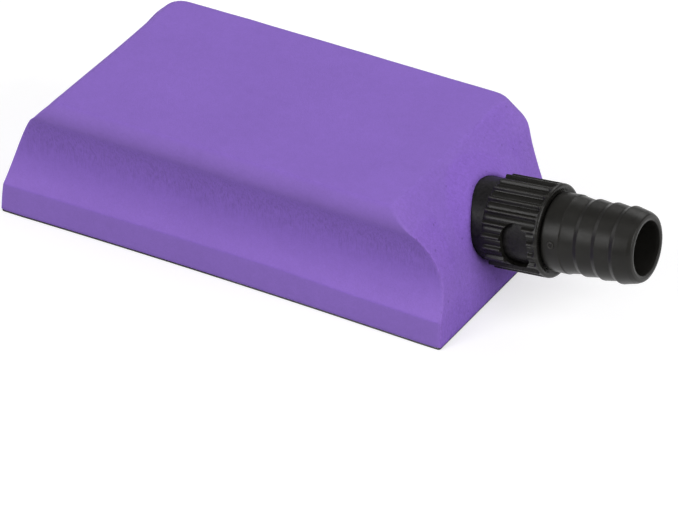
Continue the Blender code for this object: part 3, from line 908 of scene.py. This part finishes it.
def foam_masks(mesh):
    """Where the foam is open-celled and streaked, and where light and shade are painted on it.
    """
    points = points_of(mesh)
    x, y, z = points.T
    z = z + crease_dip(points)
    side = np.abs(y)
    to_end = np.array([half_length(height) for height in z]) - np.abs(x)
    to_side = half_widths(z) - side
    end = smoothstep(-1.2, 0.4, -to_end)
    flank_share = 1 - end
    cove = smoothstep(13, 24, z) * (1 - smoothstep(29, 32.5, z)) * (side > 20)
    skirt = (1 - smoothstep(SKIRT_TOP - 0.5, SKIRT_TOP + 0.05, z)) * flank_share
    nose = smoothstep(29, 32, z) * (1 - smoothstep(36.0, TOP, z)) * flank_share
    set_mask(mesh, "rough", np.clip(0.35 + 0.6 * end + 0.15 * cove - 0.3 * skirt, 0, 1))
    set_mask(mesh, "skin", np.clip(skirt + 0.8 * nose, 0, 1))
    # Streak mask: milling streaks, which across the cove also paint its shade
    end_foot = end * (1 - smoothstep(12, 24, z))
    set_mask(mesh, "streak_and_shade", np.clip(cove * flank_share + 0.6 * end_foot, 0, 1))
    # Painted highlights: the upright corners, the end's border, and the flare over the crease
    # are painted paler where they catch light
    corner = (1 - smoothstep(0.2, 0.9, to_end)) * (1 - smoothstep(0.2, 0.9, to_side))
    corner = corner * (z < TOP - 4)
    border = (1 - smoothstep(2, 9, to_side)) * end * (x > 0)
    flare = smoothstep(SKIRT_TOP - 0.1, SKIRT_TOP + 0.4, z) * flank_share
    flare = flare * (0.55 - 0.55 * smoothstep(11, 19, z) + 0.32 * (1 - smoothstep(9.5, 13, z)))
    set_mask(mesh, "edge", np.clip(0.45 * corner + 0.45 * border + flare, 0, 1))
    radius = outlet_coordinates(points)[1]
    # Painted shadow on the foam round the neck
    set_mask(mesh, "neck_shadow", (1 - smoothstep(11.0, 12.4, radius)) * (x > 40))


def build_insert(material):
    """Foam plate with the dust holes."""
    half_x, half_y, radius = np.array((*SEAT, SEAT_CORNER)) - INSERT_GAP
    outline = plan_outline(half_x, half_y, radius, (60, 28, 6))
    insert = make_object("foam_plate", prism(outline, (FOAM_FOOT, INSERT_TOP)), material)
    carve(insert, dust_holes(DUST_RADIUS - 0.05, DUST_RADIUS + 0.25))
    resmooth(insert, 40)
    for name, value in (("rough", 0.9), ("streak_and_shade", 0), ("edge", 0), ("neck_shadow", 0), ("skin", 0)):
        set_mask(insert.data, name, np.full(len(insert.data.vertices), value))
    return insert


def dust_places():
    """Centres of the dust holes."""
    return [
        (DUST_PITCH[0] * (column - 1.5), DUST_PITCH[1] * (row - 0.5))
        for column in range(4)
        for row in range(2)
    ]


def dust_holes(radius, mouth):
    """Bmesh of all dust holes, flared towards the facing."""
    levels = (
        (-1.0, mouth),
        (FOAM_FOOT, mouth),
        (FOAM_FOOT + 0.5, radius),
        (INSERT_TOP + 2, radius),
    )
    bm = bmesh.new()
    for place in dust_places():
        rings = [
            [(x, y, height) for x, y in circle(place, size, 48)] for height, size in levels
        ]
        part = skin(rings)
        mesh = bpy.data.meshes.new("hole")
        part.to_mesh(mesh)
        part.free()
        bm.from_mesh(mesh)
        bpy.data.meshes.remove(mesh)
    return bm


# Hook facing


def build_hooks(material):
    """Backing with rows of small moulded hooks that curl over in turn to either side.

    A dense row runs round the border.
    """
    half_x, half_y = HALF_LENGTH - BACKING_INSET, HALF_WIDTH - BACKING_INSET
    outline = plan_outline(half_x, half_y, 0.8, (60, 30, 6))
    backing = prism(outline, (BACKING_FOOT, FOAM_FOOT - 0.02))
    facing = make_object("hook_sheet_pile", backing, material)
    carve(facing, dust_holes(DUST_RADIUS, DUST_RADIUS))
    bm = bmesh.new()
    bm.from_mesh(facing.data)
    bm.transform(Matrix.Scale(1 / MM, 4))
    columns = int(2 * (HALF_LENGTH - HOOK_INSET) / HOOK_PITCH[0])
    rows = int(2 * (HALF_WIDTH - HOOK_INSET) / HOOK_PITCH[1])
    for row in range(rows + 1):
        lean = 1 if (row // 2) % 2 else -1
        shift = 0.25 if row % 2 else -0.25
        for column in range(columns + 1):
            x = (column - columns / 2 + shift) * HOOK_PITCH[0]
            y = (row - rows / 2) * HOOK_PITCH[1]
            if abs(x) > HALF_LENGTH - 0.9 or abs(y) > HALF_WIDTH - 0.9:
                continue
            if any(math.hypot(x - a, y - b) < DUST_RADIUS + 0.7 for a, b in dust_places()):
                continue
            wobble = 0.06 * noise.noise(Vector((x * 1.7, y * 2.3, 4.0)))
            add_hook(bm, x + wobble, y - wobble, lean)
    half_x, half_y = HALF_LENGTH - HOOK_BORDER[0], HALF_WIDTH - HOOK_BORDER[1]
    for x, y in plan_outline(half_x, half_y, 0.6, (320, 280, 3)):
        add_hook(bm, x, y, 1 if x < 0 else -1)
    old = facing.data
    bpy.data.objects.remove(facing, do_unlink=True)
    bpy.data.meshes.remove(old)
    hooks = make_object("hook_sheet_pile", bm, material, 50)
    set_points(hooks.data, relax_foam(points_of(hooks.data)))
    return hooks


def add_hook(bm, x, y, lean):
    """One hook: a flat stem that bends over at its tip."""
    rings = []
    for along, up, half in HOOK_LINE:
        tilt = 0.45 * 0.8 * half if along > 0.1 else 0
        ring = []
        for corner_x, corner_y in ((-1, -1), (1, -1), (1, 1), (-1, 1)):
            point = (
                x + lean * (along + corner_x * half * 0.8),
                y + corner_y * HOOK_HALF_DEPTH,
                BACKING_FOOT + up + corner_x * tilt,
            )
            ring.append(bm.verts.new(point))
        rings.append(ring)
    for low, high in zip(rings, rings[1:]):
        for here in range(4):
            after = (here + 1) % 4
            bm.faces.new((low[here], low[after], high[after], high[here]))
    bm.faces.new(rings[0])
    bm.faces.new(list(reversed(rings[-1])))


# Hose fitting


def build_spigot(material):
    """Fixed tube with its glued root, neck, journal, lug and bleed port."""
    corners = [(place, radius, 0.12) for place, radius in spigot_root(0)[:-1]]
    corners += [
        (NECK_BACK, NECK_RADIUS, 0.15),
        (NECK_FRONT, NECK_RADIUS, 0.25),
        (NECK_FRONT, JOURNAL, 0.1),
    ]
    grooves = ((*BEAD_GROOVE, 0.1, 0.1), (*RING_GROOVE, 0.08, 0.15))
    for back, front, floor, edge, corner in grooves:
        corners += [
            (back, JOURNAL, edge),
            (back, floor, corner),
            (front, floor, corner),
            (front, JOURNAL, edge),
        ]
    corners += [
        (JOURNAL_FRONT, JOURNAL, 0.15),
        (JOURNAL_FRONT, SOCKET_RADIUS, 0.1),
        (SOCKET_BACK, SOCKET_RADIUS, 0.05),
        (SOCKET_BACK, SPIGOT_BORE, 0.1),
        (ROOT_END, SPIGOT_BORE, 0.3),
    ]
    spigot = make_object("spigot_tube", revolve(fillet(corners)), material)
    lug = ((0.0, 9.9), (1.3, 9.9), (1.3, 10.75), (0.0, 10.75))
    carve(spigot, sector(lug, LUG_START, LUG_WIDTH, 8), "UNION")
    outline = circle((WINDOW_PLACE, 0), PORT_RADIUS, 48)
    reaches = (2.0, JOURNAL - 0.4, JOURNAL, 12.0)
    carve(spigot, plug(outline, reaches, (0, 0, 0.25, 0.25), PORT_ANGLE))
    resmooth(spigot, 35)
    return spigot


def flute_drop(share, along):
    """Depth of a flute from 0 to 1, at a share of the pitch and a share of its run-out.

    Ribs are round, and a flute's floor swells a little between its two valleys.
    """
    if along >= 1:
        return 0.0
    width = math.sqrt(1 - max(along, 0) ** 2)
    place = abs(share - 0.5) * 2 / max(width, 0.05)
    if place < VALLEY:
        depth = 1 - FLOOR_SWELL * (1 - (place / VALLEY) ** 2)
    else:
        climb = min((place - VALLEY) / (0.96 - VALLEY), 1)
        depth = 0.5 * (1 + math.cos(math.pi * climb))
    return depth * min(width * 1.15, 1)


def collar_outside():
    """Outside of the collar as (place, inset) pairs, from its back over the ribs."""
    run_start = FLUTE_END - RUN_OUT
    outside = list(BACK_EDGE)
    outside += [(place, 0.0) for place in np.linspace(1.6, run_start, 12)]
    shares = np.sin(np.linspace(0.12, 1, 14) * math.pi / 2)
    outside += [(run_start + RUN_OUT * share, 0.0) for share in shares]
    return outside + list(FRONT_EDGE)


def build_collar(material):
    """Ribbed collar with its window, bead, pocket and lip."""
    count = RIB_COUNT * STEPS_PER_RIB
    angles = [RIB_PLACE + FULL_TURN * step / count for step in range(count)]
    rings = []
    for place, inset in collar_outside():
        along = (place - (FLUTE_END - RUN_OUT)) / RUN_OUT
        ring = []
        for step, angle in enumerate(angles):
            share = (step % STEPS_PER_RIB) / STEPS_PER_RIB
            radius = RIB_RADIUS - inset - FLUTE_DEPTH * flute_drop(share, along)
            ring.append(outlet_point(place, radius, angle))
        rings.append(ring)
    inside = [
        (COLLAR_FRONT, 11.72, 0.0),
        (COLLAR_FRONT - 0.02, 11.45, 0.08),
        (COLLAR_FRONT - 0.45, 10.6, 0.3),
        (POCKET[1] + 0.3, MOUTH_RADIUS, 0.08),
        (POCKET[1], MOUTH_RADIUS, 0.1),
        (POCKET[1], POCKET_RADIUS, 0.1),
        (POCKET[0], POCKET_RADIUS, 0.0),
        (POCKET[0], COLLAR_BORE, 0.0),
        (BEAD[1], COLLAR_BORE, 0.0),
        (BEAD[1], COLLAR_BORE - BEAD_HEIGHT, 0.15),
        (BEAD[0], COLLAR_BORE - BEAD_HEIGHT, 0.15),
        (BEAD[0], COLLAR_BORE, 0.0),
        (COLLAR_BACK, COLLAR_BORE, 0.15),
        (COLLAR_BACK, RIB_RADIUS - BACK_EDGE[0][1], 0.0),
    ]
    for place, radius in fillet(inside, 3)[1:-1]:
        rings.append([outlet_point(place, radius, angle) for angle in angles])
    collar = make_object("ribbed_collar", skin(rings, closed_along=True), material)
    recess = ((-1.5, JOURNAL), (1.6, JOURNAL), (1.6, 11.05), (-1.5, 11.05))
    start = LUG_START - STOP_PLAY - COLLAR_TURN
    carve(collar, sector(recess, start, LUG_WIDTH + 2 * STOP_PLAY + COLLAR_TURN, 32))
    straight = WINDOW_HALF_HEIGHT - WINDOW_RADIUS
    outline = arc((WINDOW_PLACE, straight), WINDOW_RADIUS, 0, math.pi, 28)
    outline += arc((WINDOW_PLACE, -straight), WINDOW_RADIUS, math.pi, FULL_TURN, 28)
    reaches, widths = (0.5, 11.45, 11.85, 14.5), (0.0, 0.0, 0.12, 0.9)
    carve(collar, plug(outline, reaches, widths, WINDOW_ANGLE))
    resmooth(collar, 38)
    place, radius, angle = outlet_coordinates(points_of(collar.data))
    share = ((angle - RIB_PLACE) / (FULL_TURN / RIB_COUNT)) % 1.0
    # Rib crests and the front rim are painted paler, partly as wear and partly as painted
    # highlight
    crest = smoothstep(0.80, 0.97, np.abs(share - 0.5) * 2) * smoothstep(11.9, 12.3, radius)
    rim = smoothstep(15.2, 15.6, place) * (1 - smoothstep(16.3, 16.7, place))
    rim = 0.15 * rim * smoothstep(11.8, 12.3, radius)
    set_mask(collar.data, "crest", np.maximum(crest, rim))
    return collar


def build_tail(material):
    """Barbed hose tail with its shoulder, band, pip and rounded tip."""
    corners = [
        (TAIL_BACK, PILOT_RADIUS, 0.1),
        (SHOULDER[0], PILOT_RADIUS, 0.05),
        (SHOULDER[0], SHOULDER_RADIUS, 0.12),
        (SHOULDER[1], SHOULDER_RADIUS, 0.12),
        (SHOULDER[1], TAIL_NECK, 0.05),
        (16.88, TAIL_NECK, 0.05),
        (16.90, 10.08, 0.08),
        (17.15, 10.37, 0.15),
        (21.95, 10.42, 0.35),
        (22.25, 10.2, 0.3),
    ]
    for valley, crest, radius, rounding in BARBS:
        corners += [(valley, BARB_ROOT, 1.1), (crest, radius, rounding)]
    corners += [
        (41.1, 9.42, 1.2),
        (42.2, 8.9, 0.75),
        (42.4, 8.0, 0.45),
        (42.25, 7.22, 0.25),
        (41.3, HOSE_BORE, 0.5),
        (TAIL_BACK, HOSE_BORE, 0.1),
    ]
    tail = make_object("barbed_tail", revolve(fillet(corners, 6), 192), material)
    pip = [
        [beside_axis(*point, reach, PIP_ANGLE) for point in circle((PIP_PLACE, 0), size, 32)]
        for size, reach in PIP_LINE
    ]
    carve(tail, skin(pip), "UNION")
    resmooth(tail, 35)
    place, radius, angle = outlet_coordinates(points_of(tail.data))
    near = np.hypot(place - PIP_PLACE, (angle - PIP_ANGLE) * 10.4)
    # The pip's crown is painted paler, partly as wear and partly as painted highlight
    set_mask(tail.data, "crest", (near < 1.05) * smoothstep(10.46, 10.62, radius))
    return tail


# Set


def build_camera():
    """Camera at the photograph's viewing angle."""
    right = Vector((math.cos(AZIMUTH), math.sin(AZIMUTH), 0))
    forward = Vector((
        -math.sin(AZIMUTH) * math.cos(ELEVATION),
        math.cos(AZIMUTH) * math.cos(ELEVATION),
        -math.sin(ELEVATION),
    ))
    up = right.cross(forward)
    side, lift, depth = CAMERA_PLACE
    place = (side * right + lift * up + depth * forward) * MM
    data = bpy.data.cameras.new("camera")
    data.sensor_width = SENSOR_WIDTH
    data.lens = FOCAL_LENGTH / PHOTO_WIDTH * SENSOR_WIDTH
    data.clip_start = 0.05
    data.clip_end = 20
    camera = bpy.data.objects.new("camera", data)
    turn = Matrix((right, up, -forward)).transposed()
    camera.matrix_world = Matrix.Translation(place) @ turn.to_4x4()
    bpy.context.scene.collection.objects.link(camera)
    bpy.context.scene.camera = camera


def build_floor():
    """Pale floor that looks white to the camera and keeps the shadow."""
    bm = bmesh.new()
    bmesh.ops.create_grid(bm, x_segments=8, y_segments=8, size=FLOOR_HALF_WIDTH)
    n = Nodes("floor")
    path = n.add("ShaderNodeLightPath")
    seen = n.math("MAXIMUM", path.outputs["Is Camera Ray"], path.outputs["Is Glossy Ray"])
    seen = n.math("MAXIMUM", seen, path.outputs["Is Transmission Ray"])
    paper = n.remap(n.noise(60, 3.0, 0.5), 0.2, 0.8, *FLOOR_SHADE)
    colour = n.add("ShaderNodeCombineColor", ((0, paper), (1, paper), (2, paper)))
    material = n.finish(
        Base_Color=colour.outputs[0],
        Roughness=0.9,
        Specular_IOR_Level=0.0,
        Emission_Color=(1, 1, 1, 1),
        Emission_Strength=n.times(seen, FLOOR_GLOW),
    )
    floor = make_object("floor", bm, material)
    floor.location.z = -FLOOR_DROP * MM


def add_lamp(name, place, size, power):
    """Soft square lamp that points at the block."""
    data = bpy.data.lights.new(name, "AREA")
    data.shape = "RECTANGLE"
    data.size, data.size_y = size
    data.energy = power
    lamp = bpy.data.objects.new(name, data)
    lamp.location = place
    aim = Vector(LAMP_TARGET) - Vector(place)
    lamp.rotation_euler = aim.to_track_quat("-Z", "Y").to_euler()
    bpy.context.scene.collection.objects.link(lamp)


def build_world():
    """World that is white to camera and transmission rays, and dimmer to all others."""
    world = bpy.data.worlds.new("studio")
    bpy.context.scene.world = world
    world.use_nodes = True
    tree = world.node_tree
    tree.nodes.clear()
    path = tree.nodes.new("ShaderNodeLightPath")
    seen = tree.nodes.new("ShaderNodeMath")
    seen.operation = "MAXIMUM"
    tree.links.new(path.outputs["Is Camera Ray"], seen.inputs[0])
    tree.links.new(path.outputs["Is Transmission Ray"], seen.inputs[1])
    mix = tree.nodes.new("ShaderNodeMixShader")
    tree.links.new(seen.outputs[0], mix.inputs[0])
    for place, strength in ((1, SKY), (2, WHITE)):
        background = tree.nodes.new("ShaderNodeBackground")
        background.inputs["Color"].default_value = (1.0, 1.0, 1.0, 1.0)
        background.inputs["Strength"].default_value = strength
        tree.links.new(background.outputs[0], mix.inputs[place])
    output = tree.nodes.new("ShaderNodeOutputWorld")
    tree.links.new(mix.outputs[0], output.inputs["Surface"])


def build_light():
    """Plain soft studio light."""
    for lamp in LAMPS:
        add_lamp(*lamp)
    build_world()


def main():
    """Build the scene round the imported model."""
    build_camera()
    build_floor()
    build_light()

    foam = build_foam(foam_material("purple_foam", 0.16))
    insert = build_insert(foam_material("insert_foam", 0.30))
    hooks = build_hooks(hook_material())
    plastic = plastic_material("spigot_plastic", NECK_SHADED_BLACK, 0.33, 0.20, dull=0.20)
    spigot = build_spigot(plastic)
    plastic = plastic_material("collar_plastic", COLLAR_BLACK, 0.27, 0.22, wear_and_highlight=0.30)
    collar = build_collar(plastic)
    plastic = plastic_material("tail_plastic", TAIL_LIT_BLACK, 0.33, 0.20, wear_and_highlight=0.25, turned=0.5)
    tail = build_tail(plastic)
    rubber = rubber_material()
    for name in ("friction_ring", "swivel_washer"):
        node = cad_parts[name]
        node.data.materials.clear()
        node.data.materials.append(rubber)

    for piece, body, node, slot in (
        (foam, "block", "foam_body", "purple_foam"),
        (insert, "block", "foam_insert", "insert_foam"),
        (hooks, "block", "hook_sheet", "hook_facing"),
        (spigot, "block", "outlet_spigot", "spigot_plastic"),
        (collar, "collar", "regulator_collar", "collar_plastic"),
        (tail, "tail", "hose_tail", "tail_plastic"),
    ):
        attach(piece, body)
        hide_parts(node)

    view = bpy.context.scene.view_settings
    view.view_transform = "Standard"


main()
